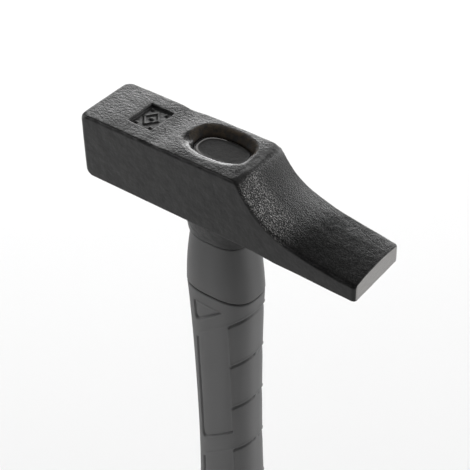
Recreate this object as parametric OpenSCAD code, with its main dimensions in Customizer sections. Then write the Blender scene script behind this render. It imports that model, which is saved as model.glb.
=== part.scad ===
// Cross-peen joiner's hammer: a forged head bonded on a composite handle.
// +Z runs up the handle, +X points to the peen, and the origin is the middle
// of the flat butt face that the hammer can stand on.

/* [Overall] */
// Height of the head's underside above the butt face
handle_h = 273; // [225:1:330]
// Distance from the handle's axis to the striking face
poll_reach = 52; // [43:0.5:63]
// Distance from the handle's axis to the end of the peen
peen_reach = 61.5; // [51:0.5:74]
// Width and height of the square striking face
face_w = 25; // [22:0.5:30]

/* [Head] */
// Height of the top's crown above the face's top edge, round the eye
crown_h = 1.7; // [0.5:0.1:3]
// Metal between the eye's mouth and the ridge where the peen's slope starts
ridge_lip = 3; // [1.5:0.1:5]
// Thickness of the blunt peen edge
peen_t = 5.8; // [4:0.2:8]
// Drop of the peen's underside at its tip
peen_drop = 1.1; // [0:0.1:2]
// Rise of the peen's top for each millimetre back from its tip
peen_draft = 0.12; // [0.06:0.01:0.2]
// Length in which the concave slope dies away
slope_len = 7.8; // [6:0.2:10]
// Chamfer round the striking face
face_chamfer = 1.8; // [0.5:0.1:3]
// Chamfer on the head's long edges
edge_chamfer = 0.8; // [0.3:0.1:1.5]
// Height of the forged boss under the eye
boss_h = 9; // [5:0.5:12]
// Wall of the boss round the eye at its foot
boss_wall = 1.9; // [1.2:0.1:2.6]
// Growth of the boss from its foot to the head
boss_draft = 1.2; // [0.5:0.1:2]
// Length of the stamped size panel along the head
stamp_l = 9.5; // [7:0.5:12]
// Width of the stamped size panel across the head
stamp_w = 12; // [8:0.5:15]
// Metal between the stamped panel and the eye's mouth
stamp_gap = 11.7; // [9:0.1:14]
// Depth of the stamped panel
stamp_depth = 0.9; // [0.4:0.1:1.4]

/* [Eye and bond] */
// Half width of the handle's tenon
tenon_a = 9.2; // [7.6:0.1:10]
// Half thickness of the handle's tenon
tenon_b = 6.4; // [5.2:0.1:7]
// Thickness of the bond round the tenon at the eye's waist
bond_t = 0.5; // [0.2:0.05:0.8]
// Height of the eye's waist above the head's underside
waist_up = 6; // [4:0.5:9]
// Flare of the eye from its waist to the boss's foot
foot_flare = 0.45; // [0.2:0.05:0.8]
// Overhang of the tenon's cap along the head
cap_lip_a = 1.5; // [1:0.1:2]
// Overhang of the tenon's cap across the head
cap_lip_b = 0.4; // [0.2:0.1:0.8]
// Gap between the cap's edge and the eye's wall
cap_gap = 0.3; // [0.2:0.1:1]
// Thickness of the cap
cap_t = 3.6; // [2.6:0.2:4.2]
// Depth of the cap's top below the head's crown
cap_depth = 2.8; // [1.5:0.1:3.2]
// Height of the cap's top above the bond
cap_proud = 0.8; // [0.4:0.1:2.4]
// Flare of the eye's mouth above the bond
mouth_flare = 2.5; // [1:0.1:2.8]

/* [Handle] */
// Step in from the boss's foot to the neck
neck_setback = 0.3; // [0.1:0.1:0.6]
// Depth of the neck's foot below the head
neck_depth = 32; // [26:0.5:36]
// Step out from the grip's top edge to the neck's foot
neck_lip = 0.1; // [0:0.1:0.6]
// Half width of the grip at its waist
waist_a = 12.25; // [11.5:0.1:14]
// Thickness of the handle as a share of its width
section_ratio = 0.68; // [0.64:0.01:0.76]
// Growth of the grip's half width towards the neck
neck_swell = 2; // [0.8:0.1:2.4]
// Length in which that growth dies away
swell_reach = 34; // [20:1:45]
// Growth of the grip's half width in the palm
palm_swell = 2; // [0:0.1:3]
// Height of the palm swell above the butt
palm_height = 100; // [85:1:115]
// Length over which the palm swell dies away
palm_spread = 38; // [30:1:45]
// Growth of the grip's half width at the butt
butt_swell = 2.8; // [1:0.1:4]
// Length over which the butt's growth dies away
butt_reach = 24; // [16:1:32]
// Thickness of the soft grip
grip_t = 2.4; // [1.6:0.1:3]
// Width of the open groove between neck and grip
ring_gap = 0.7; // [0.4:0.1:1]
// Wall of the tenon round the core
tenon_wall = 2.6; // [1.8:0.1:3.2]
// Length of core that stands out of the tenon into the cap
core_stand = 1; // [0.6:0.1:1.4]
// Clearance round the core's end in the cap and round the butt cap's spigot
fit_gap = 0.15; // [0.1:0.05:0.3]

/* [Grip relief] */
// Depth of the grip's moulded grooves
groove_d = 0.8; // [0.4:0.1:1]
// Width of the grip's moulded grooves
groove_w = 1.1; // [0.8:0.1:1.6]
// Slope of the diagonal grooves, as rise over run
groove_slope = 0.79; // [0.6:0.01:0.9]
// Depth of the first diagonal groove under the neck, on the handle's axis
groove_start = 17.8; // [14:0.2:22]
// Distance between the first two diagonal grooves
groove_pitch = 20; // [16:0.1:24]
// Growth of that distance with each groove
pitch_growth = 1.3; // [0:0.1:2]
// Half width of the panels on the grip's two flats
panel_a = 7.3; // [6.5:0.1:8]
// Rise of a panel's foot above the diagonal groove below it
panel_rise = 10; // [7:0.5:13]

/* [Butt cap] */
// Height of the hard cap that closes the butt
butt_h = 36; // [30:1:42]
// Radius of the hanging hole
hang_r = 4.5; // [3.5:0.1:5]
// Height of the hanging hole above the butt face
hang_z = 19; // [16:0.5:22]
// Depth of the countersink at each end of the hanging hole
hang_sink = 1.2; // [0.8:0.1:2]
// Length of the spigot that plugs the cap into the handle
spigot_h = 12; // [8:0.5:16]
// Width of the spigot
spigot_w = 15; // [12:0.5:17]
// Thickness of the spigot
spigot_t = 8; // [6:0.5:9]

/* [Hidden] */
SIDES = 40;
SECTION_POWER = 2.8;
ROUND = 64;
// Long enough to cut or clip right through any piece.
REACH = 200;
// Gap between the spigot's top and the core's foot.
core_rise = 2;

half_w = face_w / 2;
top_z = handle_h + face_w;
crown_z = top_z + crown_h;
boss_foot_z = handle_h - boss_h;
cap_top_z = crown_z - cap_depth;
resin_top_z = cap_top_z - cap_proud;
tenon_top_z = cap_top_z - cap_t;
eye_waist_z = handle_h + waist_up;
neck_foot_z = handle_h - neck_depth;
grip_top_z = neck_foot_z - ring_gap;
spigot_top_z = butt_h + spigot_h;
core_foot_z = spigot_top_z + core_rise;
ring_step = 8;

// Half widths and half thicknesses, as [a, b], from the tenon outwards.
tenon = [tenon_a, tenon_b];
core = tenon - [tenon_wall, tenon_wall];
cap = tenon + [cap_lip_a, cap_lip_b];
eye_waist = tenon + [bond_t, bond_t];
eye_foot = eye_waist + [foot_flare, foot_flare];
eye_throat = cap + [cap_gap, cap_gap];
eye_mouth = eye_throat + [mouth_flare, mouth_flare];
boss_foot = eye_foot + [boss_wall, boss_wall];
boss_head = boss_foot + [boss_draft, boss_draft];
neck_top = boss_foot - [neck_setback, neck_setback];
ridge_reach = eye_mouth[0] + ridge_lip;
stamp_reach = eye_mouth[0] + stamp_gap + stamp_l / 2;

// Superellipse outline with half axes a and b.
function squircle(a, b) = [for (i = [0 : SIDES - 1])
    let (t = 360 * i / SIDES, c = cos(t), s = sin(t))
    [a * sign(c) * pow(abs(c), 2 / SECTION_POWER),
     b * sign(s) * pow(abs(s), 2 / SECTION_POWER)]];

// Closed solid through stations of [z, a, b].
module loft(stations) {
    rings = len(stations);
    points = [for (s = stations, p = squircle(s[1], s[2])) [p[0], p[1], s[0]]];
    sides = [for (r = [0 : rings - 2], i = [0 : SIDES - 1])
        let (j = (i + 1) % SIDES, low = r * SIDES, high = low + SIDES)
        each [[low + i, high + i, high + j], [low + i, high + j, low + j]]];
    foot = [for (i = [0 : SIDES - 1]) i];
    top = [for (i = [0 : SIDES - 1]) rings * SIDES - 1 - i];
    polyhedron(points, concat([foot], sides, [top]), convexity = 6);
}

// Flat bar with round long edges, standing on z = 0.
module round_bar(w, t, h) {
    reach = (w - t) / 2;
    linear_extrude(h) union() {
        square([2 * reach, t], center = true);
        for (x = [-reach, reach]) translate([x, 0]) circle(d = t, $fn = ROUND);
    }
}

// Half width of the handle's gripped length at height z.
function grip_a(z) = waist_a
    + neck_swell * exp(-(neck_foot_z - z) / swell_reach)
    + palm_swell * exp(-pow((z - palm_height) / palm_spread, 2))
    + butt_swell * exp(-z / butt_reach);

// Half width and half thickness there, set in by inset.
function grip_section(z, inset = 0) =
    [grip_a(z) - inset, grip_a(z) * section_ratio - inset];

// Stations up the gripped length from z0 to z1, set in by inset.
function grip_stations(z0, z1, inset = 0) =
    let (steps = ceil((z1 - z0) / ring_step))
    [for (i = [0 : steps])
        let (z = z0 + (z1 - z0) * i / steps)
        concat([z], grip_section(z, inset))];

// One station at height z, with section ab set in by inset.
function station(z, ab, inset = 0) = [z, ab[0] - inset, ab[1] - inset];

// Head, seen from the side: x along the head, y up.
function slope_z(x) = handle_h - peen_drop + peen_t
    + peen_draft * (peen_reach - x)
    + (face_w - peen_t + peen_drop - peen_draft * (peen_reach - ridge_reach))
    * exp(-(x - ridge_reach) / slope_len);

module side_outline() {
    shoulder = 1;
    shoulder_drop = 0.4;
    saddle = 7;
    slope_steps = 14;
    // Above 1, the steps are shorter at the ridge, where the slope bends most.
    crowding = 1.6;
    mouth = eye_mouth[0];
    polygon(concat(
        [[-poll_reach, handle_h + face_chamfer],
         [-poll_reach, top_z - face_chamfer],
         [-poll_reach + face_chamfer, top_z],
         [-mouth - saddle, top_z],
         [-mouth - shoulder, crown_z - shoulder_drop],
         [-mouth + saddle, crown_z],
         [mouth - saddle, crown_z],
         [mouth, crown_z - shoulder_drop]],
        [for (i = [0 : slope_steps])
            let (x = ridge_reach + (peen_reach - ridge_reach) * pow(i / slope_steps, crowding))
            [x, slope_z(x)]],
        [[peen_reach, handle_h - peen_drop],
         [(peen_reach + ridge_reach) / 2, handle_h],
         [-poll_reach + face_chamfer, handle_h]]));
}

// Head, seen from above.
module plan_outline() {
    polygon([[-poll_reach, half_w - face_chamfer],
        [-poll_reach + face_chamfer, half_w],
        [peen_reach - edge_chamfer, half_w],
        [peen_reach, half_w - edge_chamfer],
        [peen_reach, edge_chamfer - half_w],
        [peen_reach - edge_chamfer, -half_w],
        [-poll_reach + face_chamfer, -half_w],
        [-poll_reach, face_chamfer - half_w]]);
}

// Head, seen from the striking face: x across the head, y up, crowned on top.
module end_outline() {
    foot = handle_h - peen_drop;
    shoulder = top_z - edge_chamfer;
    crown_steps = 12;
    polygon(concat(
        [[half_w, foot], [half_w, shoulder]],
        [for (i = [0 : crown_steps])
            let (y = (half_w - edge_chamfer) * (1 - 2 * i / crown_steps))
            [y, top_z + crown_h * (1 - pow(y / half_w, 2))]],
        [[-half_w, shoulder], [-half_w, foot]]));
}

// The eye's space, from under the boss to above the crown.
module eye_form() {
    over = 1;
    mid_in = 0.3;
    loft([station(boss_foot_z - over, eye_foot),
        station(eye_waist_z, eye_waist),
        station(resin_top_z, eye_throat),
        station((resin_top_z + crown_z) / 2, (eye_throat + eye_mouth) / 2, mid_in),
        station(crown_z, eye_mouth),
        station(crown_z + over, eye_mouth, -over)]);
}

module hammer_head() {
    color([0.1, 0.1, 0.1]) difference() {
        union() {
            intersection() {
                rotate([90, 0, 0]) linear_extrude(REACH, center = true) side_outline();
                translate([0, 0, handle_h - REACH / 2]) linear_extrude(REACH) plan_outline();
                rotate([90, 0, 90]) linear_extrude(REACH, center = true) end_outline();
            }
            loft([station(boss_foot_z, boss_foot), station(handle_h + 1, boss_head)]);
        }
        eye_form();
        size_panel();
    }
}

// Sunk panel on the poll, with a plain raised lozenge left standing in it.
module size_panel() {
    lozenge_r = 3;
    translate([-stamp_reach, 0, top_z - stamp_depth]) difference() {
        translate([-stamp_l / 2, -stamp_w / 2, 0]) cube([stamp_l, stamp_w, REACH]);
        cylinder(r = lozenge_r, h = stamp_depth / 2, $fn = 4);
    }
}

module tenon_form() {
    loft([station(boss_foot_z, tenon), station(tenon_top_z, tenon)]);
}

module cap_form() {
    round_r = 0.9;
    loft([station(tenon_top_z, cap),
        station(cap_top_z - round_r, cap),
        station(cap_top_z - round_r * 0.3, cap, round_r * 0.3),
        station(cap_top_z, cap, round_r)]);
}

// The core's outline as a bar of height h, grown by gap on every side.
module core_form(h, gap = 0) {
    round_bar(2 * (core[0] + gap), 2 * (core[1] + gap), h);
}

// Cured bond that fills the eye round the tenon and the cap's edge.
module eye_resin() {
    color([0.2, 0.19, 0.17]) difference() {
        intersection() {
            eye_form();
            translate([-REACH / 2, -REACH / 2, boss_foot_z])
                cube([REACH, REACH, resin_top_z - boss_foot_z]);
        }
        tenon_form();
        cap_form();
    }
}

module eye_cap() {
    color([0.16, 0.16, 0.17]) difference() {
        cap_form();
        translate([0, 0, tenon_top_z - 1]) core_form(core_stand + 1, fit_gap);
    }
}

module core_rod() {
    color([0.75, 0.72, 0.55]) translate([0, 0, core_foot_z])
        core_form(tenon_top_z + core_stand - core_foot_z);
}

// Bare neck, from the boss down to the top of the grip.
module neck_form() {
    edge = 0.4;
    bow = 0.3;
    neck_foot = grip_section(grip_top_z, -neck_lip);
    loft([station(grip_top_z, neck_foot, grip_t + neck_lip),
        station(neck_foot_z, neck_foot, grip_t + neck_lip),
        station(neck_foot_z, neck_foot, edge),
        station(neck_foot_z + edge, neck_foot),
        station((neck_foot_z + boss_foot_z) / 2, (neck_foot + neck_top) / 2, -bow),
        station(boss_foot_z, neck_top)]);
}

// Hard jacket: tenon, bare neck, and the base that the soft grip covers.
module handle_body() {
    color([0.34, 0.34, 0.35]) difference() {
        union() {
            tenon_form();
            neck_form();
            loft(grip_stations(butt_h, grip_top_z, grip_t));
        }
        translate([0, 0, butt_h - 1])
            round_bar(spigot_w + 2 * fit_gap, spigot_t + 2 * fit_gap, spigot_h + 2);
        translate([0, 0, core_foot_z]) core_form(REACH * 2);
    }
}

// Height on the handle's axis of diagonal groove number i, counted from the neck.
function groove_z(i) = neck_foot_z - groove_start - groove_pitch * i
    - pitch_growth * i * (i - 1) / 2;

// Slanted stripe from x0 to x1, at height z on the axis.
module slanted(x0, x1, z) {
    polygon([[x0, z + x0 * groove_slope - groove_w / 2],
        [x1, z + x1 * groove_slope - groove_w / 2],
        [x1, z + x1 * groove_slope + groove_w / 2],
        [x0, z + x0 * groove_slope + groove_w / 2]]);
}

// Foot and back edge of a panel between two heights on the axis.
module panel_edge(foot, top) {
    slanted(-panel_a, panel_a, foot);
    translate([-panel_a - groove_w / 2, foot - panel_a * groove_slope])
        square([groove_w, top - foot]);
}

// Relief of the grip seen from the side: x across the handle, y up.
module relief_outline() {
    out = 20;
    last_groove = 8;
    wedge_drop = 10;
    // Diagonals over the front edge.
    for (i = [0 : last_groove]) if (groove_z(i) > butt_h + out)
        slanted(panel_a, out, groove_z(i));
    for (i = [0, 3]) panel_edge(groove_z(i + 3) + panel_rise, groove_z(i));
    // Short wedge under the neck.
    slanted(2 - panel_a, panel_a - 3, neck_foot_z - wedge_drop);
}

module grip_sleeve() {
    color([0.3, 0.3, 0.31]) difference() {
        loft(grip_stations(butt_h, grip_top_z));
        loft(concat([station(butt_h - 1, grip_section(butt_h, grip_t))],
            grip_stations(butt_h, grip_top_z, grip_t),
            [station(grip_top_z + 1, grip_section(grip_top_z, grip_t))]));
        difference() {
            rotate([90, 0, 0]) linear_extrude(REACH, center = true) relief_outline();
            loft(grip_stations(butt_h, grip_top_z, groove_d));
        }
    }
}

module butt_cap() {
    edge = 2;
    rim = 1.5;
    face = grip_section(0);
    web = 2 * (grip_section(hang_z)[1] - hang_sink);
    color([0.34, 0.34, 0.35]) difference() {
        union() {
            loft(concat([station(0, face, edge), station(edge * 0.3, face, edge * 0.3)],
                grip_stations(edge, butt_h)));
            translate([0, 0, butt_h - 1]) round_bar(spigot_w, spigot_t, spigot_h + 1);
        }
        translate([0, 0, hang_z]) rotate([90, 0, 0]) {
            cylinder(r = hang_r, h = REACH, center = true, $fn = ROUND);
            for (side = [0, 180]) rotate([0, side, 0]) translate([0, 0, web / 2])
                cylinder(r1 = hang_r + rim, r2 = hang_r + 3 * rim, h = 2 * rim, $fn = ROUND);
        }
    }
}

hammer_head();
eye_resin();
eye_cap();
core_rod();
handle_body();
grip_sleeve();
butt_cap();
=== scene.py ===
"""Looks of the cross-peen joiner's hammer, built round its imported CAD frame.

Lengths are written in millimetres in the hammer's own terms and turned into metres
by MM. x points to the peen, y to the far side in the photograph, and z up. Heights are
measured from the head's underside unless a name or a comment says otherwise.
"""
import math

import bpy
import numpy as np
from mathutils import Matrix, Vector


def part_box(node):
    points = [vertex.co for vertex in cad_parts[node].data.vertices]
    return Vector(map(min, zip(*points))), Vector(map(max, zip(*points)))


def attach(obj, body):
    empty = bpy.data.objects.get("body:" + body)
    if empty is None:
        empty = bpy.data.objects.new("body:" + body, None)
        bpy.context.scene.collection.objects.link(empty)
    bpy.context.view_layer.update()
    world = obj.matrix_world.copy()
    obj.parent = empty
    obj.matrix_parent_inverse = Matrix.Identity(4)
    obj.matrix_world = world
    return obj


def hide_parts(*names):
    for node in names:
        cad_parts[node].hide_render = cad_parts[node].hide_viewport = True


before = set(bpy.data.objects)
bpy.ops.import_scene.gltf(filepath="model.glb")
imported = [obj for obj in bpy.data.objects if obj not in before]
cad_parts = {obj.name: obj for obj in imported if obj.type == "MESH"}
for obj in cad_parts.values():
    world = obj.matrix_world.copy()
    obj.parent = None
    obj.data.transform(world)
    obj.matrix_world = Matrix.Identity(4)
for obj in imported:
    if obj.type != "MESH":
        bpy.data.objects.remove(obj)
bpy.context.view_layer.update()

MM = 0.001

# Driving sizes, as in the CAD model.
BOSS_H = 9.0                                   # boss under the eye
WAIST_UP = 6.0                                 # height of the eye's waist
TENON_A, TENON_B = 9.2, 6.4                    # half axes of the handle's tenon
BUTT_H = 36.0                                  # hard cap that closes the butt
NECK_DEPTH = 32.0                              # depth of the neck's foot under the head
NECK_LIP = 0.1                                 # step out from the grip's top edge to the neck
RING_GAP = 0.7                                 # open groove between neck and grip
SECTION_RATIO = 0.68                           # thickness of the handle over its width
SECTION_POWER = 2.8                            # squareness of the handle's sections
GRIP_T = 2.4                                   # thickness of the soft grip
WAIST_A = 12.25                                # half width of the grip at its waist
NECK_SWELL, SWELL_REACH = 2.0, 34.0            # growth towards the neck, and its reach
PALM_SWELL, PALM_HEIGHT, PALM_SPREAD = 2.0, 100.0, 38.0    # its height is above the butt
BUTT_SWELL, BUTT_REACH = 2.8, 24.0             # growth towards the butt, and its reach
PANEL_A = 7.3                                  # half width of the panels on the grip's flats
PANEL_RISE = 10.0                              # a panel's foot above the groove below it
GROOVE_SLOPE = 0.79                            # rise over run of the diagonal grooves
HANG_R, HANG_Z, HANG_WEB = 4.5, 19.0, 16.0     # hole: radius, height above the butt, length

# Places that come from the frame.
head_low, head_high = (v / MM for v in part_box("hammer_head"))
UNDERSIDE = head_low.z + BOSS_H                # height of the underside above the butt face
POLL_X, PEEN_X = head_low.x, head_high.x
HALF_W = head_high.y
CROWN = head_high.z - UNDERSIDE                # crown of the head above its underside

# Fineness of the meshes: grid steps, and points round a section of the handle.
HEAD_STEP, CAP_STEP, BOND_STEP, BUTT_STEP = 0.33, 0.3, 0.35, 0.45
GRIP_STEP, GRIP_AROUND, NECK_AROUND = 0.35, 240, 144


# ---------------------------------------------------------------- camera

def aim_camera():
    """Camera at the photograph's angle, distance and slight tilt."""
    azimuth, elevation, roll = (math.radians(a) for a in (38.45, 38.84, -1.55))
    distance, lens = 476.6, 107.24
    aim_x, aim_drop = 4.62, 9.04
    target = Vector((aim_x, 0, UNDERSIDE - aim_drop))
    back = Vector((math.sin(azimuth) * math.cos(elevation),
                   -math.cos(azimuth) * math.cos(elevation),
                   math.sin(elevation)))
    right = (-back).cross(Vector((0, 0, 1))).normalized()
    up = right.cross(-back)
    tilted_right = right * math.cos(roll) + up * math.sin(roll)
    tilted_up = up * math.cos(roll) - right * math.sin(roll)
    data = bpy.data.cameras.new("camera")
    data.lens = lens
    data.sensor_width = 36
    data.clip_start, data.clip_end = 0.01, 20
    camera = bpy.data.objects.new("camera", data)
    bpy.context.scene.collection.objects.link(camera)
    turn = Matrix((tilted_right, tilted_up, back)).transposed().to_4x4()
    camera.matrix_world = Matrix.Translation((target + back * distance) * MM) @ turn
    bpy.context.scene.camera = camera


# ---------------------------------------------------------------- mesh tools

def smooth_step(t):
    """0 up to t = 0, 1 from t = 1 on, with an even change between."""
    t = np.clip(t, 0, 1)
    return t * t * (3 - 2 * t)


def rise(value, start, end):
    """Smooth step from 0 where value is start to 1 where it is end."""
    return smooth_step((value - start) / (end - start))


def soft_max(a, b, r):
    """Larger of two distances, with the corner between them rounded over about r."""
    h = np.maximum(r - abs(a - b), 0) / r
    return np.maximum(a, b) + h * h * r / 4


def soft_min(a, b, r):
    """Smaller of two distances, with the corner between them filled over about r."""
    return -soft_max(-a, -b, r)


def surface_net(form, low, high, step):
    """Quad mesh of the surface form(x, y, z) = 0, where form is negative inside.

    Every grid cell that the surface passes through gets one point, in the middle of
    the places where it crosses the cell's edges. Every crossed edge gets one quad,
    between the points of the four cells round it.
    """
    axes = [np.arange(start - step, end + 2 * step, step) for start, end in zip(low, high)]
    value = form(*np.meshgrid(*axes, indexing="ij"))
    inside = value < 0
    cells = tuple(n - 1 for n in value.shape)
    total = np.zeros(cells + (3,))
    count = np.zeros(cells)
    crossings = []
    for axis in range(3):
        first = [slice(None)] * 3
        second = [slice(None)] * 3
        first[axis], second[axis] = slice(None, -1), slice(1, None)
        v0, v1 = value[tuple(first)], value[tuple(second)]
        at = np.argwhere(inside[tuple(first)] != inside[tuple(second)])
        others = [a for a in range(3) if a != axis]
        keep = np.ones(len(at), bool)
        for a in others:
            keep &= (at[:, a] > 0) & (at[:, a] < value.shape[a] - 1)
        at = at[keep]
        where = tuple(at.T)
        point = at.astype(float)
        point[:, axis] += v0[where] / (v0[where] - v1[where])
        corners = []
        for da, db in ((1, 1), (0, 1), (0, 0), (1, 0)):
            cell = at.copy()
            cell[:, others[0]] -= da
            cell[:, others[1]] -= db
            corners.append(cell)
            np.add.at(total, tuple(cell.T), point)
            np.add.at(count, tuple(cell.T), 1)
        flip = inside[tuple(first)][where] != (axis == 1)
        crossings.append((corners, flip))
    used = count > 0
    number = np.full(cells, -1)
    number[used] = np.arange(used.sum())
    points = total[used] / count[used][:, None] * step + [a[0] for a in axes]
    quads = []
    for corners, flip in crossings:
        quad = np.stack([number[tuple(c.T)] for c in corners], 1)
        quad[~flip] = quad[~flip][:, ::-1]
        quads.append(quad)
    return points, np.concatenate(quads)


def settle(form, points, quads, rounds=4, relax=0.5):
    """Evens the quads out and puts every point back on the surface."""
    probe = 0.02               # step over which the field's slope is measured
    flattest = 0.05            # least squared slope that a point's move is divided by
    ends = np.concatenate([quads[:, [i, (i + 1) % 4]] for i in range(4)])
    degree = np.bincount(ends[:, 0], minlength=len(points)).astype(float)
    for turn in range(rounds):
        if turn < rounds - 1:
            middle = np.stack([np.bincount(ends[:, 0], points[ends[:, 1], a], len(points))
                               for a in range(3)], 1) / degree[:, None]
            points = points + relax * (middle - points)
        for _ in range(2):
            here = form(*points.T)
            slope = np.stack([(form(*(points + d).T) - form(*(points - d).T)) / (2 * probe)
                              for d in np.eye(3) * probe], 1)
            size = np.maximum((slope ** 2).sum(1), flattest)
            points = points - (here / size)[:, None] * slope
    return points


def make_mesh(name, points, faces, lift=0.0):
    """Smooth-shaded mesh object from points in millimetres, raised by lift."""
    mesh = bpy.data.meshes.new(name)
    placed = (np.asarray(points) + [0, 0, lift]) * MM
    mesh.from_pydata(placed.tolist(), [], [list(map(int, f)) for f in faces])
    mesh.validate()
    mesh.shade_smooth()
    obj = bpy.data.objects.new(name, mesh)
    bpy.context.scene.collection.objects.link(obj)
    return obj


def carve(name, form, low, high, step, lift=0.0):
    """Mesh object of a form, looked for in the box from low to high."""
    points, quads = surface_net(form, low, high, step)
    return make_mesh(name, settle(form, points, quads), quads, lift)


def squircle_field(x, y, a, b, power=SECTION_POWER):
    """About the distance from a superellipse with half axes a and b, negative inside."""
    on_axis, flat = 1e-12, 1e-9        # keep both divisions finite
    u, v = abs(x) / a, abs(y) / b
    radius = (u ** power + v ** power + on_axis) ** (1 / power)
    gu = (u / radius) ** (power - 1) / a
    gv = (v / radius) ** (power - 1) / b
    return (radius - 1) / np.sqrt(gu * gu + gv * gv + flat)


def squircle_ring(count):
    """Points of the unit superellipse, spread evenly round the handle's section."""
    def place(t):
        c, s = np.cos(t), np.sin(t)
        power = 2 / SECTION_POWER
        return np.sign(c) * abs(c) ** power, np.sign(s) * abs(s) ** power

    samples = 4000
    t = np.linspace(0, 2 * np.pi, samples)
    x, y = place(t)
    run = np.concatenate([[0], np.cumsum(np.hypot(np.diff(x), np.diff(y * SECTION_RATIO)))])
    return place(np.interp(np.linspace(0, run[-1], count, endpoint=False), run, t))


def skin(name, rings):
    """Mesh through rings, an array of (ring, point, xyz), with a fan across each end."""
    n_rings, n = rings.shape[:2]
    points = rings.reshape(-1, 3).tolist()
    faces = []
    for r in range(n_rings - 1):
        low, high = r * n, (r + 1) * n
        faces += [(low + i, low + (i + 1) % n, high + (i + 1) % n, high + i)
                  for i in range(n)]
    for ring, order in ((0, -1), (n_rings - 1, 1)):
        centre = len(points)
        points.append(rings[ring].mean(0).tolist())
        base = ring * n
        for i in range(n):
            pair = (base + i, base + (i + 1) % n)
            faces.append((centre,) + pair[::order])
    return make_mesh(name, points, faces)


def quarter_round(radius, shares):
    """(along, inset) of a rounded edge, at each of those shares of its quarter turn."""
    turns = [share * math.pi / 2 for share in shares]
    return [(radius * (1 - math.cos(turn)), radius * (1 - math.sin(turn))) for turn in turns]


# ---------------------------------------------------------------- head

# Top of the head. A swelling on it has a middle, a height and a spread along the head.
TOP_EDGE = 25.6                                # height of the top along its two edges
EYE_CROWN_X, EYE_CROWN_HALF, EYE_CROWN_FADE = -1.0, 7.5, 6.5
CROWN_BEND = 0.8                               # below 1, the crown falls late and steeply
POLL_CROWN = (-36.0, 0.5, 8.0)
SADDLE = (-20.5, -0.35, 4.0)
DISH_DEPTH, DISH_A, DISH_B = 0.35, 7.0, 7.5    # hollow round the sunk panel
CROWN_SLOPE = 1.01                             # steepness that its field is divided by

# The slope down to the peen, and the peen.
RIDGE_X = 14.6                                 # where the slope starts, beside the eye
RIDGE_BULGE, BULGE_START, BULGE_FADE = 3.2, 14.0, 9.0
SLOPE_RISE, SLOPE_REACH = 15.5, 8.5            # height at the ridge, and how soon it dies away
STEEPEST, STEEP_REACH = 2.2, 8.0               # steepness that the slope's field is divided by
PEEN_TOP = 5.45                                # height of the peen's top at its tip
PEEN_DRAFT = 0.115                             # its rise for each millimetre back from there
PEEN_CROWN, CROWN_SHARE, CROWN_RUN = 1.2, 0.85, 16.0   # crown across slope and peen
PEEN_TILT, TILT_FROM = 0.8, (20, 32)           # lean at either side, and where it sets in
TILT_EASE, EASE_FROM = 0.4, (50, 61)           # its loss towards the tip
# Underside: its drop towards the tip, and its rise towards the poll.
PEEN_DROP, DROP_START, DROP_RUN, DROP_BEND = 1.0, 33.0, 28.0, 1.7
POLL_LIFT, LIFT_END, LIFT_RUN = 0.5, 28.0, 80.0

# Sides, with the crease that the forging's flash has left under the top's edges.
SIDE_INSET = 0.02                              # keeps the sides inside the CAD model's box
FLASH_STEP, FLASH_CREASE = 0.06, 0.38          # depths of the step and of the crease
CREASE_DOWN, CREASE_WANDER, CREASE_HALF = 0.55, 0.12, 0.3

# Striking face and peen end. A bevel has a slope and a setback, and a scale that turns
# its height into a distance.
FACE_CROWN, FACE_CROWN_Z = 0.55, 12.6
FACE_MIDDLE, FACE_HALF = 12.9, 12.75
FACE_BEVEL = (0.9, 1.2, 0.743)
FACE_CORNER = (0.8, 2.6, 0.615)
PEEN_CORNER = 0.9
DIAGONAL = 0.707                               # turns a sum over two axes into a distance

# Boss and eye. The half axes run along the head and across it.
BOSS_TOP, BOSS_TAPER = (13.3, 10.4), 0.133
BOSS_ROOT = 6.0                                # how far the boss reaches up into the head
EYE_WAIST, EYE_THROAT, EYE_MOUTH = (9.7, 6.9), (11.0, 6.35), (12.2, 8.15)
EYE_POWER = 2.4                                # squareness of its outline
FOOT_FLARE = 0.45                              # flare from the waist to the boss's foot
THROAT_TOP = 22.0                              # height where the throat is full
THROAT_LEAN, MOUTH_SHIFT = 0.75, (-1.5, 2.25)  # off the handle's axis
FUNNEL_FOOT, FUNNEL_TOP = 23.6, 26.3
FUNNEL_BEND = 1.5                              # above 1, it starts steep and opens out
LIP_FOOT = 22.0                                # below this the walls carry scale all round
LIP_CENTRE, LIP_REACH = (-1.2, 0.7), (13.2, 9.8)
CAP_DEPTH = 2.8                                # top of the cap under the crown
RIM_STAND = 0.5                                # top of the cap above the bond

# Sunk panel on the poll, and its motif.
STAMP_X = 30.0
STAMP_L, STAMP_W, STAMP_DEPTH = 9.5, 12.0, 0.9
LOZENGE_A, LOZENGE_B, LOZENGE_LINE, LOZENGE_SCALE = 2.9, 3.7, 0.16, 1.9
DOT_R, CORNER_DOT_R, CORNER_DOT_X, CORNER_DOT_Y = 0.75, 0.55, 3.1, 4.3
MOTIF_H = 0.5

# Roundings between the head's surfaces.
RIDGE_ROUND, FAR_RIDGE_ROUND = 2.2, 0.6        # the second is added on the far side
EDGE_ROUND = 0.55
PEEN_EDGE_ROUND, PEEN_EDGE_FROM = 0.75, (22, 34)   # added along the peen's near edge
FACE_ROUND, BEVEL_ROUND, CORNER_ROUND = 1.2, 0.6, 0.8
TIP_ROUND, BOSS_FOOT_ROUND, BOSS_FILLET = 0.6, 0.8, 2.2
EYE_LIP, NEAR_LIP = 0.7, 3.7                   # lip of the eye, and its near side
SMALL_ROUND, MOTIF_ROUND, MOTIF_FILLET = 0.5, 0.4, 0.3


def swell(x, middle, height, spread):
    """Bell-shaped swelling of that height."""
    return height * np.exp(-((x - middle) / spread) ** 2)


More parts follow.
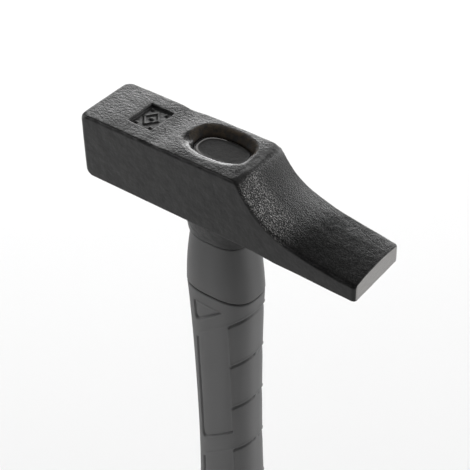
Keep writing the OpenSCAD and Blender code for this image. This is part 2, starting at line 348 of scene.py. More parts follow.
def crown_height(x, y):
    """Top of the head before the slope: flat poll, saddle, and a crown round the eye."""
    across = np.clip(1 - (y / HALF_W) ** 2, 0, 1)
    off_eye = np.maximum(abs(x - EYE_CROWN_X) - EYE_CROWN_HALF, 0)
    crown = swell(off_eye, 0, CROWN - TOP_EDGE, EYE_CROWN_FADE) + swell(x, *POLL_CROWN)
    dish = DISH_DEPTH * np.exp(-((x + STAMP_X) / DISH_A) ** 2 - (y / DISH_B) ** 2)
    return TOP_EDGE + crown * across ** CROWN_BEND + swell(x, *SADDLE) - dish


def tilt(x, y):
    """The forged peen leans a little: its far side stands higher than its near side."""
    return PEEN_TILT * y / HALF_W * rise(x, *TILT_FROM) * (1 - TILT_EASE * rise(x, *EASE_FROM))


def peen_line(x):
    """Height of the peen's top without the slope, crown and lean."""
    return PEEN_TOP + PEEN_DRAFT * (PEEN_X - x)


def slope_height(x, y):
    """Concave slope down to the peen; its top edge curves out round the eye."""
    off_axis = (y / HALF_W) ** 2
    fade = np.exp(-np.maximum(x - BULGE_START, 0) / BULGE_FADE)
    run = np.maximum(x - RIDGE_BULGE * np.clip(1 - off_axis, 0, 1) * fade, 0) - RIDGE_X
    crown = PEEN_CROWN * (CROWN_SHARE - off_axis) * smooth_step((x - RIDGE_X) / CROWN_RUN)
    return peen_line(x) + SLOPE_RISE * np.exp(-run / SLOPE_REACH) + crown + tilt(x, y)


def underside(x, y):
    """Underside of the head: nearly level, dropping a little towards the peen's tip."""
    drop = PEEN_DROP * np.clip((x - DROP_START) / DROP_RUN, 0, 1) ** DROP_BEND
    return POLL_LIFT * np.clip((LIFT_END - x) / LIFT_RUN, 0, 1) - drop + tilt(x, y)


def panel_motif(x, y):
    """Field of the sunk panel's plain motif: a lozenge with a dot in it and four round it."""
    u, v = abs(x + STAMP_X), abs(y)
    ring = abs(u / LOZENGE_A + v / LOZENGE_B - 1) - LOZENGE_LINE
    corner_dots = np.hypot(u - CORNER_DOT_X, v - CORNER_DOT_Y) - CORNER_DOT_R
    return np.minimum(ring * LOZENGE_SCALE, np.minimum(np.hypot(u, v) - DOT_R, corner_dots))


def eye_wall(x, y, z):
    """Field of the eye's space: a waist, an upright throat, and a funnel up to the mouth.

    The throat and the mouth sit off the handle's axis by different amounts.
    """
    down = np.clip((WAIST_UP - z) / (WAIST_UP + BOSS_H), 0, 1.2)
    throat = rise(z, WAIST_UP, THROAT_TOP)
    up = np.clip((z - FUNNEL_FOOT) / (FUNNEL_TOP - FUNNEL_FOOT), 0, 1.3)
    flare = up ** FUNNEL_BEND
    a, b = (w + (t - w) * throat + FOOT_FLARE * down + (m - t) * flare
            for w, t, m in zip(EYE_WAIST, EYE_THROAT, EYE_MOUTH))
    centre_x = MOUTH_SHIFT[0] * flare
    centre_y = THROAT_LEAN * throat + (MOUTH_SHIFT[1] - THROAT_LEAN) * flare
    side = squircle_field(x - centre_x, y - centre_y, a, b, EYE_POWER)
    widening = FUNNEL_BEND * up ** (FUNNEL_BEND - 1) * rise(y, -3, 1)
    return side / np.sqrt(1 + widening ** 2)


def head_top(x, y, z, slope):
    """Field of the top: the crowned part over poll and eye, and the peen's slope."""
    crowned = (z - crown_height(x, y)) / CROWN_SLOPE
    steepness = np.clip((slope - peen_line(x)) / STEEP_REACH, 0, STEEPEST) + PEEN_DRAFT
    falling = (z - slope) / np.sqrt(1 + steepness ** 2)
    return soft_max(crowned, falling, RIDGE_ROUND + FAR_RIDGE_ROUND * rise(y, -3, 10))


def head_sides(x, y, z, slope):
    """Field of the sides. Just under the top's edge a side steps in by a hair, and an
    uneven crease wanders along the step."""
    under_edge = z - np.minimum(TOP_EDGE, slope)
    uneven = 0.7 + 0.3 * np.sin(0.9 * x) * np.sin(0.37 * x + 1)
    off_crease = under_edge + CREASE_DOWN + CREASE_WANDER * np.sin(0.6 * x)
    crease = FLASH_CREASE * uneven * np.exp(-(off_crease / CREASE_HALF) ** 2)
    return abs(y) - HALF_W + SIDE_INSET + FLASH_STEP * rise(under_edge, -1.0, -0.6) + crease


def cut_face(d, x, y, z):
    """Cuts the striking face: a little crowned, with a ground bevel and deeper corners."""
    crown = FACE_CROWN * ((y / HALF_W) ** 2 + ((z - FACE_CROWN_Z) / HALF_W) ** 2) / 2
    d = soft_max(d, POLL_X + crown - x, FACE_ROUND)
    wide, high = abs(y) - HALF_W, abs(z - FACE_MIDDLE) - FACE_HALF
    slope, setback, scale = FACE_BEVEL
    for out in (wide, high):
        d = soft_max(d, (out + (POLL_X - x) * slope + setback) * scale, BEVEL_ROUND)
    slope, setback, scale = FACE_CORNER
    return soft_max(d, (wide + high + (POLL_X - x) * slope + setback) * scale, CORNER_ROUND)


def cut_tip(d, x, y):
    """Cuts the peen's blunt ground end, with softened corners."""
    tip = x - PEEN_X
    d = soft_max(d, tip, TIP_ROUND)
    return soft_max(d, (abs(y) - HALF_W + tip + PEEN_CORNER) * DIAGONAL, SMALL_ROUND)


def add_boss(d, x, y, z):
    """Adds the tapered boss under the eye."""
    drop = np.clip(-z, -2, BOSS_H)
    a, b = (half - BOSS_TAPER * drop for half in BOSS_TOP)
    boss = soft_max(squircle_field(x, y, a, b), -BOSS_H - z, BOSS_FOOT_ROUND)
    return soft_min(d, soft_max(boss, z - BOSS_ROOT, SMALL_ROUND), BOSS_FILLET)


def cut_eye(d, x, y, z):
    """Cuts the eye. The near side of its lip is rounded far more than the rest."""
    lip = EYE_LIP + (NEAR_LIP - EYE_LIP) * rise(y, 2, -4) * rise(z, 18, 22)
    return soft_max(d, -eye_wall(x, y, z), lip)


def sink_panel(d, x, y, z):
    """Sinks the panel on the poll, with its motif standing in it."""
    floor = TOP_EDGE - STAMP_DEPTH
    sunk = np.maximum(abs(x + STAMP_X) - STAMP_L / 2, abs(y) - STAMP_W / 2)
    sunk = soft_max(sunk, floor - z, SMALL_ROUND)
    motif = soft_max(panel_motif(x, y), z - floor - MOTIF_H, MOTIF_ROUND)
    motif = soft_max(motif, floor - 1 - z, MOTIF_FILLET)
    return soft_min(soft_max(d, -sunk, SMALL_ROUND), motif, MOTIF_FILLET)


def head_form(x, y, z):
    """Distance-like field of the forged head."""
    slope = slope_height(x, y)
    edge_round = EDGE_ROUND + PEEN_EDGE_ROUND * rise(x, *PEEN_EDGE_FROM) * rise(y, 0, -1)
    d = soft_max(head_top(x, y, z, slope), head_sides(x, y, z, slope), edge_round)
    d = soft_max(d, underside(x, y) - z, SMALL_ROUND)
    d = cut_face(d, x, y, z)
    d = cut_tip(d, x, y)
    d = add_boss(d, x, y, z)
    d = cut_eye(d, x, y, z)
    return sink_panel(d, x, y, z)


def carries_scale(x, y, z):
    """True on the eye's walls: up to the mouth's edge on the far side, and under the
    rounded lip elsewhere."""
    depth = eye_wall(x, y, z)
    far_side = y > 1.5 + 1.2 * np.minimum(x + 9, 0)
    return ((depth < 0.45) & far_side) | ((depth < 0.12) & (z < LIP_FOOT))


def build_head():
    """Forged head: lacquered steel, with dull scale on the eye's walls."""
    low = (POLL_X, -HALF_W, -BOSS_H)
    high = (PEEN_X, HALF_W, CROWN)
    head = carve("forged_head", head_form, low, high, HEAD_STEP, UNDERSIDE)
    head.data.materials.append(lacquered_steel())
    head.data.materials.append(eye_scale())
    middles = np.zeros(len(head.data.polygons) * 3)
    head.data.polygons.foreach_get("center", middles)
    x, y, z = middles.reshape(-1, 3).T / MM - np.array([[0], [0], [UNDERSIDE]])
    head.data.polygons.foreach_set("material_index", carries_scale(x, y, z).astype(np.int32))
    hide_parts("hammer_head")
    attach(head, "root")


# ---------------------------------------------------------------- handle

NECK_TOP = (11.75, 8.95)                       # the neck's half axes under the boss
NECK_BULGE = 0.35                              # how far its sides swell between the ends
NECK_ROUND = 0.5                               # rounded edge at its foot
RING_EXTRA = 0.2                               # the ring is deeper than the grip is thick
GRIP_ROUND = 0.6                               # rounded edges at the grip's two ends

# Diagonal grooves over the front edge, each with a bead above it.
GROOVES = 8
GROOVE_START, GROOVE_PITCH, PITCH_GROWTH = 17.8, 20.0, 1.3
LEAN_SHARE = 1 / math.hypot(1, GROOVE_SLOPE)   # turns a height along a diagonal into a distance
GROOVE_D, GROOVE_W = 0.85, 1.0
WEB_W = 1.6                                    # left uncut where a groove crosses the front
RAMP_L, RAMP_D = 6.0, 0.22                     # shallow hollow that runs into a groove
BEAD_H, BEAD_W, BEAD_EDGE = 0.30, 0.3, 0.9
BEAD_UP = 1.35                                 # the bead's height above its diagonal groove

# Panels on both flats: groove at the back and foot, bead along the front.
PANEL_GROOVE_W, PANEL_GROOVE_SHARE = 0.95, 0.9
PANEL_BEAD_W = 0.25
LONG_FOOT = -103.5                             # foot of the upper panel, under the head
LONG_CORNER, LOW_CORNER, WEDGE_CORNER = 3.5, 6.0, 3.0
WEDGE_TOP, WEDGE_FOOT, WEDGE_GROOVE_W = -37.9, -41.8, 0.9


def grip_a(z):
    """Half width of the gripped length at height z above the butt face."""
    return (WAIST_A + NECK_SWELL * np.exp(-(UNDERSIDE - NECK_DEPTH - z) / SWELL_REACH)
            + PALM_SWELL * np.exp(-((z - PALM_HEIGHT) / PALM_SPREAD) ** 2)
            + BUTT_SWELL * np.exp(-z / BUTT_REACH))


def section_rings(heights, halves, thicks, count):
    """Rings of points at heights, with those half widths and half thicknesses."""
    ux, uy = squircle_ring(count)
    return np.stack([np.outer(halves, ux), np.outer(thicks, uy),
                     np.outer(heights, np.ones(count))], 2)


def grown(section, by):
    """A section's two half axes, each grown by the same amount."""
    return [half + by for half in section]


def build_neck():
    """Hard jacket: tenon, bare neck, and the base under the soft grip."""
    foot = UNDERSIDE - BOSS_H                  # where the neck meets the boss
    ring = UNDERSIDE - NECK_DEPTH              # the neck's own foot
    grip_top = ring - RING_GAP
    grip_end = float(grip_a(grip_top))
    neck_foot = (grip_end + NECK_LIP, grip_end * SECTION_RATIO + NECK_LIP)
    ring_floor = grown(neck_foot, -GRIP_T - RING_EXTRA)
    stations = []          # height above the butt face, half width, half thickness
    for z in (BUTT_H, *np.linspace(BUTT_H + 4, grip_top - 0.5, 40)):
        half = float(grip_a(z))
        stations.append((z, half - GRIP_T, half * SECTION_RATIO - GRIP_T))
    stations += [(grip_top, *ring_floor),
                 (ring - 0.02, *ring_floor),
                 (ring, *grown(ring_floor, 0.1)),
                 (ring, *grown(neck_foot, -NECK_ROUND - 0.05))]
    for along, inset in quarter_round(NECK_ROUND, np.linspace(0.15, 1, 6)):
        stations.append((ring + along, *grown(neck_foot, -inset)))
    low, high = ring + NECK_ROUND, foot - 0.35
    for t in np.linspace(0.02, 1, 60):
        bulge = NECK_BULGE * math.sin(math.pi * t)
        sides = [a + (b - a) * t + bulge for a, b in zip(neck_foot, NECK_TOP)]
        stations.append((low + (high - low) * t, *sides))
    tenon = (TENON_A, TENON_B)
    stations += [(foot - 0.15, *grown(NECK_TOP, -0.1)),
                 (foot, *grown(NECK_TOP, -0.4)),
                 (foot, *grown(tenon, 0.2)),
                 (foot + 0.2, *tenon)]
    top = UNDERSIDE + CROWN - CAP_DEPTH - CAP_T
    stations += [(z, *tenon) for z in np.linspace(foot + 2, top, 8)]
    z, a, b = (np.array(v) for v in zip(*stations))
    neck = skin("hard_jacket", section_rings(z, a, b, NECK_AROUND))
    neck.data.materials.append(hard_plastic())
    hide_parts("handle_body")
    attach(neck, "root")


def stripe(distance, width, soft):
    """1 inside a stripe of that width, falling to 0 over soft at its edges."""
    return 1 - smooth_step((abs(distance) - width / 2) / soft + 0.5)


def above(value, edge, soft):
    """0 under the edge and 1 above it, changing over soft."""
    return smooth_step((value - edge) / soft + 0.5)


def between(value, low, high, soft):
    """1 from low to high and 0 outside, changing over soft."""
    return above(value, low, soft) * smooth_step((high - value) / soft + 0.5)


def groove_z(i):
    """Height under the head of diagonal groove i, where it meets the handle's axis."""
    return -(NECK_DEPTH + GROOVE_START + GROOVE_PITCH * i + PITCH_GROWTH * i * (i - 1) / 2)


def panel_groove(x, lean, foot, top, width, corner):
    """Groove along the back edge and the foot of a panel, with a rounded corner."""
    edge = soft_max(-PANEL_A - x, (foot - lean) * LEAN_SHARE, corner)
    inside = between(x, -PANEL_A - 3, PANEL_A, 0.5) * smooth_step((top - lean) / 0.8 + 0.5)
    return stripe(edge, width, 0.4) * inside


def grip_relief(x, y, z):
    """How far the grip's moulded surface is sunk, in millimetres. z is under the head."""
    lean = z - GROOVE_SLOPE * x                # constant along a diagonal
    front = above(x, PANEL_A, 0.6)
    bridge = 1 - stripe(y, WEB_W, 0.7)
    sunk = np.zeros_like(x)
    raised = np.zeros_like(x)
    # Every third bead crosses the flats too. The first groove has no web.
    for i in range(GROOVES):
        offset = (lean - groove_z(i)) * LEAN_SHARE
        cut = stripe(offset, GROOVE_W, 0.5) * front * (bridge if i else 1)
        sunk = np.maximum(sunk, GROOVE_D * cut)
        ramp = np.clip(1 + offset / RAMP_L, 0, 1) * (offset < 0) * front
        sunk = np.maximum(sunk, RAMP_D * ramp ** 2)
        reach = front if i % 3 else np.maximum(front, between(x, -6.8, 9, 0.8))
        bead = stripe(offset - BEAD_UP * LEAN_SHARE, BEAD_W, BEAD_EDGE)
        raised = np.maximum(raised, bead * reach)
    for top, foot, corner in ((groove_z(0), LONG_FOOT, LONG_CORNER),
                              (groove_z(3), groove_z(6) + PANEL_RISE, LOW_CORNER)):
        cut = panel_groove(x, lean, foot, top - 0.6, PANEL_GROOVE_W, corner)
        sunk = np.maximum(sunk, GROOVE_D * PANEL_GROOVE_SHARE * cut)
        tall = smooth_step((top - lean) / 0.8) * smooth_step((lean - foot) / 0.8)
        raised = np.maximum(raised, stripe(x - PANEL_A, PANEL_BEAD_W, 0.8) * tall)
    # Short wedge under the neck. Its groove stops short of the front edge.
    cut = panel_groove(x, lean, WEDGE_FOOT, 20.0, WEDGE_GROOVE_W, WEDGE_CORNER)
    cut = cut * smooth_step((WEDGE_TOP - 0.4 - z) / 0.7 + 0.5) * (x < 6)
    sunk = np.maximum(sunk, GROOVE_D * cut)
    bead = stripe(z - WEDGE_TOP, BEAD_W, 0.8) * between(x, -6.4, 4.4, 0.8)
    raised = np.maximum(raised, bead)
    return sunk - BEAD_H * raised * (1 - np.clip(sunk / GROOVE_D, 0, 1))


def build_grip():
    """Soft grip, moulded over the jacket, with its grooves and panels."""
    top = UNDERSIDE - NECK_DEPTH - RING_GAP
    rounded = quarter_round(GRIP_ROUND, np.linspace(0, 1, 7))
    span = np.arange(top - GRIP_ROUND - GRIP_STEP, BUTT_H + GRIP_ROUND, -GRIP_STEP)
    # Heights above the butt face, from the top down, each with the surface's inset.
    places = [(top - 0.01, GRIP_T - 0.01), (top, GRIP_T - 0.05)]
    places += [(top - along, inset) for along, inset in rounded]
    places += [(z, 0.0) for z in span]
    places += [(BUTT_H + along, inset) for along, inset in rounded[::-1]]
    places += [(BUTT_H, GRIP_T - 0.05), (BUTT_H + 0.01, GRIP_T - 0.01)]
    heights, insets = np.array(places).T
    half = grip_a(heights)
    rings = section_rings(heights, half - insets, half * SECTION_RATIO - insets, GRIP_AROUND)
    x, y, z = (rings[:, :, i] for i in range(3))
    sunk = grip_relief(x, y, z - UNDERSIDE)
    sunk[insets > 0.01] = 0
    across, along = x / half[:, None], y / (half * SECTION_RATIO)[:, None]
    power = SECTION_POWER - 1
    normal = np.stack([np.sign(x) * abs(across) ** power,
                       np.sign(y) * abs(along) ** power / SECTION_RATIO], 2)
    normal /= np.linalg.norm(normal, axis=2)[:, :, None]
    rings[:, :, :2] -= normal * sunk[:, :, None]
    grip = skin("soft_grip", rings[::-1])
    grip.data.materials.append(soft_rubber())
    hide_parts("grip_sleeve")
    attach(grip, "root")


# ---------------------------------------------------------------- eye and butt

CAP_A, CAP_B, CAP_T, CAP_POWER = 10.2, 6.3, 3.6, 2.6
CAP_SHIFT = (0.1, 0.7)                         # the cap's middle, off the handle's axis
CAP_DISH, CAP_ROUND = 0.2, 1.2
MENISCUS = 0.3                                 # height and reach of the bond's creep on the cap
BUTT_ROUND, BUTT_TOP_ROUND, HOLE_ROUND = 4.8, 0.9, 0.8
SINK_REACH, SINK_DEPTH = 1.5, 0.5              # countersinks: growth in radius, and depth


def cap_field(x, y, inset=0.0):
    """Field of the cap's outline, set in all round."""
    return squircle_field(x - CAP_SHIFT[0], y - CAP_SHIFT[1],
                          CAP_A - inset, CAP_B - inset, CAP_POWER)


def build_eye_cap():
    """Dark moulding on the tenon's end, with a rounded and slightly raised edge."""
    top = CROWN - CAP_DEPTH

    def form(x, y, z):
        side = cap_field(x, y)
        dish = CAP_DISH * smooth_step(-(side + 0.5) / 1.4)
        return soft_max(soft_max(side, z - top + dish, CAP_ROUND), top - CAP_T - z, 0.3)

    cap = carve("eye_disc", form, (-CAP_A, -CAP_B, top - CAP_T), (CAP_A + 1, CAP_B, top),
                CAP_STEP, UNDERSIDE)
    cap.data.materials.append(dark_moulding())
    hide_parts("eye_cap")
    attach(cap, "root")


def build_resin():
    """Cured bond round tenon and cap, which creeps up a little where it meets the cap."""
    level = CROWN - CAP_DEPTH - RIM_STAND
    cap_foot = CROWN - CAP_DEPTH - CAP_T

    def form(x, y, z):
        wall = eye_wall(x, y, z) - 0.02
        plug = np.where(z > cap_foot, cap_field(x, y, 0.1),
                        squircle_field(x, y, TENON_A - 0.05, TENON_B - 0.05))
        creep = MENISCUS * np.exp(-np.maximum(plug, 0) / MENISCUS)
        d = soft_max(np.maximum(wall, z - level - creep), -BOSS_H - z, 0.2)
        return np.maximum(d, -plug)

    a, b = EYE_THROAT
    resin = carve("eye_bond", form, (-a - 1, -b - 1, -BOSS_H), (a + 1, b + 1, level + 1),
                  BOND_STEP, UNDERSIDE)
    resin.data.materials.append(cured_resin())
    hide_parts("eye_resin")
    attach(resin, "root")


def build_butt():
    """Hard cap of the butt, with its countersunk hanging hole."""
    def form(x, y, z):
        half = grip_a(np.clip(z, 0, BUTT_H))
        d = squircle_field(x, y, half, half * SECTION_RATIO)
        d = soft_max(d, -z, BUTT_ROUND)
        d = soft_max(d, z - BUTT_H, BUTT_TOP_ROUND)
        hole = np.hypot(x, z - HANG_Z) - HANG_R
        sink = (hole - SINK_REACH - (abs(y) - HANG_WEB / 2)) * DIAGONAL
        sink = soft_max(sink, HANG_WEB / 2 - SINK_DEPTH - abs(y), 0.3)
        return soft_max(soft_max(d, -hole, HOLE_ROUND), -sink, HOLE_ROUND)

    half = float(grip_a(0))
    butt = carve("butt_end", form, (-half, -half * SECTION_RATIO, 0),
                 (half, half * SECTION_RATIO, BUTT_H), BUTT_STEP)
    butt.data.materials.append(hard_plastic())
    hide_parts("butt_cap")
    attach(butt, "root")


# ---------------------------------------------------------------- materials

class Nodes:
    """A node tree, with short ways to add nodes to it."""

    def __init__(self, tree):
        self.tree = tree

    def add(self, kind, **settings):
        node = self.tree.nodes.new(kind)
        for name, value in settings.items():
            setattr(node, name, value)
        return node

    def link(self, source, target):
        """Links an output to a socket, or sets the socket to a number."""
        if isinstance(source, (int, float)):
            target.default_value = source
        else:
            self.tree.links.new(source, target)

    def math(self, operation, a, b=0.0, clamp=False):
        node = self.add("ShaderNodeMath", operation=operation, use_clamp=clamp)
        self.link(a, node.inputs[0])
        self.link(b, node.inputs[1])
        return node.outputs[0]

    def times(self, a, b):
        return self.math("MULTIPLY", a, b)

    def away(self, value, middle):
        """How far value is from middle."""
        return self.math("ABSOLUTE", self.math("SUBTRACT", value, middle))

    def spread(self, value, low, high, out_low=0.0, out_high=1.0):
        """Smooth step from out_low where value is low to out_high where it is high."""
        node = self.add("ShaderNodeMapRange", interpolation_type="SMOOTHSTEP")
        self.link(value, node.inputs["Value"])
        for name, number in (("From Min", low), ("From Max", high),
                             ("To Min", out_low), ("To Max", out_high)):
            node.inputs[name].default_value = number
        return node.outputs[0]

    def parts(self, vector):
        node = self.add("ShaderNodeSeparateXYZ")
        self.link(vector, node.inputs[0])
        return node.outputs


class Shader(Nodes):
    """A material with a Principled shader; places in it are in millimetres."""

    def __init__(self, name, **sockets):
        self.material = bpy.data.materials.new(name)
        self.material.use_nodes = True
        super().__init__(self.material.node_tree)
        self.main = self.tree.nodes["Principled BSDF"]
        for socket, value in sockets.items():
            self.main.inputs[socket.replace("_", " ")].default_value = value
        place = self.add("ShaderNodeTexCoord").outputs["Object"]
        grow = self.add("ShaderNodeVectorMath", operation="SCALE")
        self.link(place, grow.inputs[0])
        grow.inputs["Scale"].default_value = 1 / MM
        self.place = grow.outputs[0]

    def noise(self, per_mm, detail=3, rough=0.55, stretch=None):
        where = self.place
        if stretch:
            scale = self.add("ShaderNodeVectorMath", operation="MULTIPLY")
            self.link(where, scale.inputs[0])
            scale.inputs[1].default_value = stretch
            where = scale.outputs[0]
        node = self.add("ShaderNodeTexNoise")
        self.link(where, node.inputs["Vector"])
        node.inputs["Scale"].default_value = per_mm
        node.inputs["Detail"].default_value = detail
        node.inputs["Roughness"].default_value = rough
        return node.outputs["Fac"]

    def mix(self, share, a, b):
        """Colour between a and b, each an output or a tuple."""
        node = self.add("ShaderNodeMix", data_type="RGBA")
        self.link(share, node.inputs["Factor"])
        for colour, target in ((a, node.inputs[6]), (b, node.inputs[7])):
            if isinstance(colour, tuple):
                target.default_value = (*colour, 1)
            else:
                self.link(colour, target)
        return node.outputs[2]

    def blend(self, share, a, b):
        """Number between a and b."""
        node = self.add("ShaderNodeMix", data_type="FLOAT")
        self.link(share, node.inputs["Factor"])
        self.link(a, node.inputs[2])
        self.link(b, node.inputs[3])
        return node.outputs[0]

    def normal(self):
        return self.parts(self.add("ShaderNodeNewGeometry").outputs["Normal"])

    def oval(self, x, y, centre, reach):
        """1 on the rounded oval with that centre and half axes, less inside it."""
        total = 0.0
        for value, middle, half in zip((x, y), centre, reach):
            share = self.math("DIVIDE", self.away(value, middle), half)
            total = self.math("ADD", self.math("POWER", share, EYE_POWER), total)
        return total

    def bump(self, height, depth_mm):
        node = self.add("ShaderNodeBump")
        node.inputs["Strength"].default_value = 1.0
        node.inputs["Distance"].default_value = depth_mm * MM
        self.link(height, node.inputs["Height"])
        self.link(node.outputs[0], self.main.inputs["Normal"])

    def set(self, socket, source):
        self.link(source, self.main.inputs[socket])


def grey(value, warm=0.0):
    """Grey of that value, with its red raised and its blue lowered by a share."""
    return (value * (1 + warm), value, value * (1 - warm))


def lacquered_steel():
    """Black lacquer over forging scale; bare ground working ends."""
    s = Shader("lacquered_steel", Specular_IOR_Level=0.34)
    x, y, _ = s.parts(s.place)
    nx, _, nz = s.normal()
    # Where the metal is bare: the two end faces.
    near_end = s.math("ADD", s.spread(x, PEEN_X - 0.8, PEEN_X - 0.5),
                      s.spread(x, POLL_X + 2.2, POLL_X + 1.6), clamp=True)
    bare = s.times(s.spread(s.math("ABSOLUTE", nx), 0.80, 0.93), near_end)
    # Where the surface is the slope, the flat top, round the eye, its lip, or the panel.
    slope = s.times(s.spread(x, RIDGE_X + 0.5, RIDGE_X + 3.0), s.spread(nz, 0.2, 0.4))
    flat = s.times(s.spread(nz, 0.6, 0.8), s.math("SUBTRACT", 1.0, slope))
    eye = s.spread(s.oval(x, y, LIP_CENTRE, LIP_REACH), 1.12, 0.84)
    lip = s.times(eye, s.spread(y, 1.5, -1.5))
    panel = s.times(s.spread(s.away(x, -STAMP_X), STAMP_L / 2 + 0.4, STAMP_L / 2),
                    s.spread(s.math("ABSOLUTE", y), STAMP_W / 2 + 0.4, STAMP_W / 2))
    # Grain: fine on the sides, pebbled on the top, and sandy down the slope.
    pebble = s.noise(1.1, 3, 0.6)
    sand = s.noise(2.1, 3, 0.62)
    broad = s.noise(0.28, 3, 0.5)
    side_grain = s.times(s.noise(0.9, 3, 0.5), 0.22)
    top_grain = s.times(pebble, s.spread(x, 10.5, 14.0, 1.9, 0.8))
    slope_grain = s.times(sand, s.spread(x, 26, 42, 3.4, 0.75))
    grain = s.blend(slope, s.blend(flat, side_grain, top_grain), slope_grain)
    grain = s.blend(s.math("MAXIMUM", eye, panel), grain, s.times(pebble, 0.2))
    relief = s.math("ADD", grain, s.times(broad, 1.7))
    scratch = s.noise(0.9, 4, 0.7, (0.6, 0.35, 9.0))
    s.bump(s.blend(bare, relief, s.times(scratch, 0.18)), 0.16)
    # Colour. Sandy grains of bare metal sparkle down the slope; on the near half, under the
    # ridge, they are painted denser and paler as a painted highlight.
    # Mask of the painted highlight: the near half of the slope, under the ridge.
    painted_highlight_patch = s.times(s.spread(y, 1.0, -6.0), s.spread(x, 38, 27))
    sparkle_and_painted_highlight = s.times(s.times(s.spread(sand, 0.48, 0.62), slope),
                    s.spread(painted_highlight_patch, 0, 1, 0.06, 1.0))
    tone = s.mix(s.spread(broad, 0.35, 0.7), grey(0.012), grey(0.019, 0.02))
    tone = s.mix(slope, tone, grey(0.006))
    # Pale metallic grains: real sparkle, made brighter and denser by a painted highlight on the
    # near half of the slope.
    tone = s.mix(sparkle_and_painted_highlight, tone, grey(0.23, 0.02))
    steel = s.mix(s.spread(scratch, 0.3, 0.75), grey(0.25, 0.02), grey(0.36, 0.03))
    s.set("Base Color", s.mix(bare, tone, steel))
    s.set("Metallic", s.math("MAXIMUM", bare, s.times(sparkle_and_painted_highlight, 0.75)))
    # Gloss: most on the eye's lip, least on the underside.
    gloss = s.spread(s.noise(0.7, 3, 0.6), 0.3, 0.75, 0.34, 0.46)
    gloss = s.blend(slope, gloss, 0.31)
    gloss = s.blend(lip, gloss, 0.25)
    gloss = s.blend(s.spread(nz, -0.1, -0.5), gloss, 0.85)
    s.set("Roughness", s.blend(bare, gloss, s.spread(scratch, 0.3, 0.7, 0.30, 0.42)))
    return s.material


def eye_scale():
    """Dull brownish scale on the walls of the eye."""
    s = Shader("eye_scale", Specular_IOR_Level=0.14)
    rust = s.noise(0.45, 4, 0.6)
    s.set("Base Color", s.mix(s.spread(rust, 0.35, 0.65), grey(0.016, 0.05), grey(0.028, 0.3)))
    s.set("Roughness", s.spread(rust, 0.3, 0.7, 0.5, 0.65))
    s.bump(rust, 0.25)
    return s.material


def hard_plastic():
    """Grey moulded plastic with a fine satin texture and faint flow marks."""
    s = Shader("hard_plastic", Specular_IOR_Level=0.40)
    flow = s.noise(0.12, 2, 0.5, (1, 1, 0.35))
    spark = s.noise(5.0, 3, 0.6)
    s.set("Base Color", s.mix(flow, grey(0.086), grey(0.100)))
    s.set("Roughness", s.spread(spark, 0.25, 0.8, 0.42, 0.56))
    s.bump(spark, 0.02)
    return s.material


def soft_rubber():
    """Matte grey elastomer: fine moulded texture, with tone and shine varied by handling."""
    s = Shader("soft_rubber", Specular_IOR_Level=0.4)
    wear = s.noise(0.09, 3, 0.55)
    skin_texture = s.noise(4.2, 3, 0.6)
    s.set("Base Color", s.mix(wear, grey(0.120), grey(0.142)))
    s.set("Roughness", s.spread(wear, 0.3, 0.7, 0.58, 0.68))
    s.bump(skin_texture, 0.03)
    return s.material


def dark_moulding():
    """Dark, slightly cloudy moulding of the cap in the eye, with a painted highlight: a pale
    line along its rim at the poll end."""
    s = Shader("dark_moulding", Specular_IOR_Level=0.07)
    x, y, _ = s.parts(s.place)
    cloud = s.noise(0.5, 4, 0.6)
    rim = s.oval(x, y, CAP_SHIFT, (CAP_A - 0.4, CAP_B - 0.4))
    # Painted highlight: a pale line along the cap's rim, fading out towards the peen.
    painted_rim_highlight = s.times(s.spread(s.away(rim, 1.0), 0.20, 0.03), s.spread(x, 5.0, -5.0))
    tone = s.mix(cloud, grey(0.010), grey(0.020, 0.03))
    s.set("Base Color", s.mix(painted_rim_highlight, tone, grey(0.26, 0.02)))
    s.set("Roughness", s.spread(cloud, 0.3, 0.7, 0.36, 0.46))
    s.bump(cloud, 0.12)
    return s.material


def cured_resin():
    """Glossy black epoxy with small pits."""
    s = Shader("cured_resin", Specular_IOR_Level=0.5)
    pits = s.noise(1.8, 3, 0.6)
    s.set("Base Color", s.mix(pits, grey(0.008), grey(0.02)))
    s.set("Roughness", s.spread(pits, 0.3, 0.7, 0.24, 0.36))
    s.bump(pits, 0.03)
    return s.material


def glass_fibre():
    """Pultruded rod: straw-coloured resin with straight fibres."""
    s = Shader("glass_fibre", Specular_IOR_Level=0.5)
    fibres = s.noise(1.6, 4, 0.7, (1, 1, 0.02))
    s.set("Base Color", s.mix(fibres, (0.42, 0.36, 0.19), (0.66, 0.60, 0.40)))
    s.set("Roughness", s.spread(fibres, 0.3, 0.7, 0.35, 0.5))
    s.bump(fibres, 0.05)
    return s.material


# ---------------------------------------------------------------- studio

ROOM_DIM, ROOM_GLOW = 0.08, 4.6


def add_light(name, place, aim, size, power, in_gloss=True):
    """Soft area light at place, turned to aim; lengths in metres, power in watts."""
    data = bpy.data.lights.new(name, "AREA")
    data.shape = "RECTANGLE"
    data.size, data.size_y = size
    data.energy = power
    light = bpy.data.objects.new(name, data)
    light.location = place
    light.rotation_mode = "QUATERNION"
    light.rotation_quaternion = (Vector(aim) - Vector(place)).to_track_quat("-Z", "Y")
    light.visible_glossy = in_gloss
    bpy.context.scene.collection.objects.link(light)


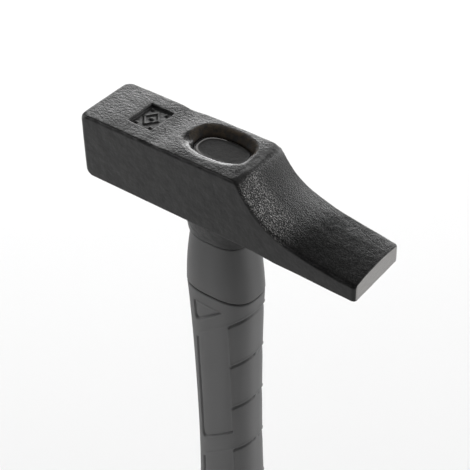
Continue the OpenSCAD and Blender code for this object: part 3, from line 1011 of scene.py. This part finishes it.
def build_room():
    """Soft room: dim in front and overhead, bright low down behind the hammer."""
    world = bpy.data.worlds.new("studio")
    bpy.context.scene.world = world
    world.use_nodes = True
    room = Nodes(world.node_tree)
    _, behind, height = room.parts(room.add("ShaderNodeTexCoord").outputs["Generated"])
    wall = room.times(room.spread(behind, 0.25, 0.85),
                      room.spread(height, 0.54, 0.24, 0.0, ROOM_GLOW))
    glow = room.tree.nodes["Background"]
    glow.inputs["Color"].default_value = (1, 1, 1, 1)
    room.link(room.math("ADD", wall, ROOM_DIM), glow.inputs["Strength"])


def build_studio():
    """Pale floor, the room, and seven soft lights. The last two are aimed at the floor
    and don't show in gloss."""
    mesh = bpy.data.meshes.new("floor")
    reach = 6.0
    mesh.from_pydata([(-reach, -reach, 0), (reach, -reach, 0), (reach, reach, 0),
                      (-reach, reach, 0)], [], [(0, 1, 2, 3)])
    floor = bpy.data.objects.new("floor", mesh)
    bpy.context.scene.collection.objects.link(floor)
    s = Shader("pale_floor", Specular_IOR_Level=0.1)
    cloud = s.noise(0.004, 2, 0.5)
    s.set("Base Color", s.mix(cloud, grey(0.86), grey(0.88)))
    s.set("Roughness", 0.9)
    mesh.materials.append(s.material)

    build_room()
    head_at = (0, 0, UNDERSIDE * MM)
    add_light("back_left", (-0.80, 0.83, 0.92), head_at, (0.45, 0.30), 2.15)
    add_light("right_high", (0.95, 0.16, 0.93), head_at, (0.28, 0.28), 1.2)
    add_light("back_low", (-0.62, 1.05, 0.46), head_at, (0.8, 0.24), 2.0)
    add_light("left_side", (-1.1, -0.45, 0.40), head_at, (0.6, 0.9), 5.6)
    add_light("right_rim", (1.15, 0.35, 0.20), head_at, (0.5, 0.9), 1.7)
    add_light("front_floor", (0, -2.6, 1.2), (0, -2.6, 0), (2.5, 1.6), 7, in_gloss=False)
    add_light("fill", (-0.3, 1.2, 1.9), (-0.3, 1.2, 0), (2.2, 2.2), 34, in_gloss=False)
    view = bpy.context.scene.view_settings
    view.view_transform = "Standard"
    view.look = "None"


# ---------------------------------------------------------------- assembly

aim_camera()
build_studio()
build_head()
build_neck()
build_grip()
build_eye_cap()
build_resin()
build_butt()
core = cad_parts["core_rod"]
core.data.materials.clear()
core.data.materials.append(glass_fibre())
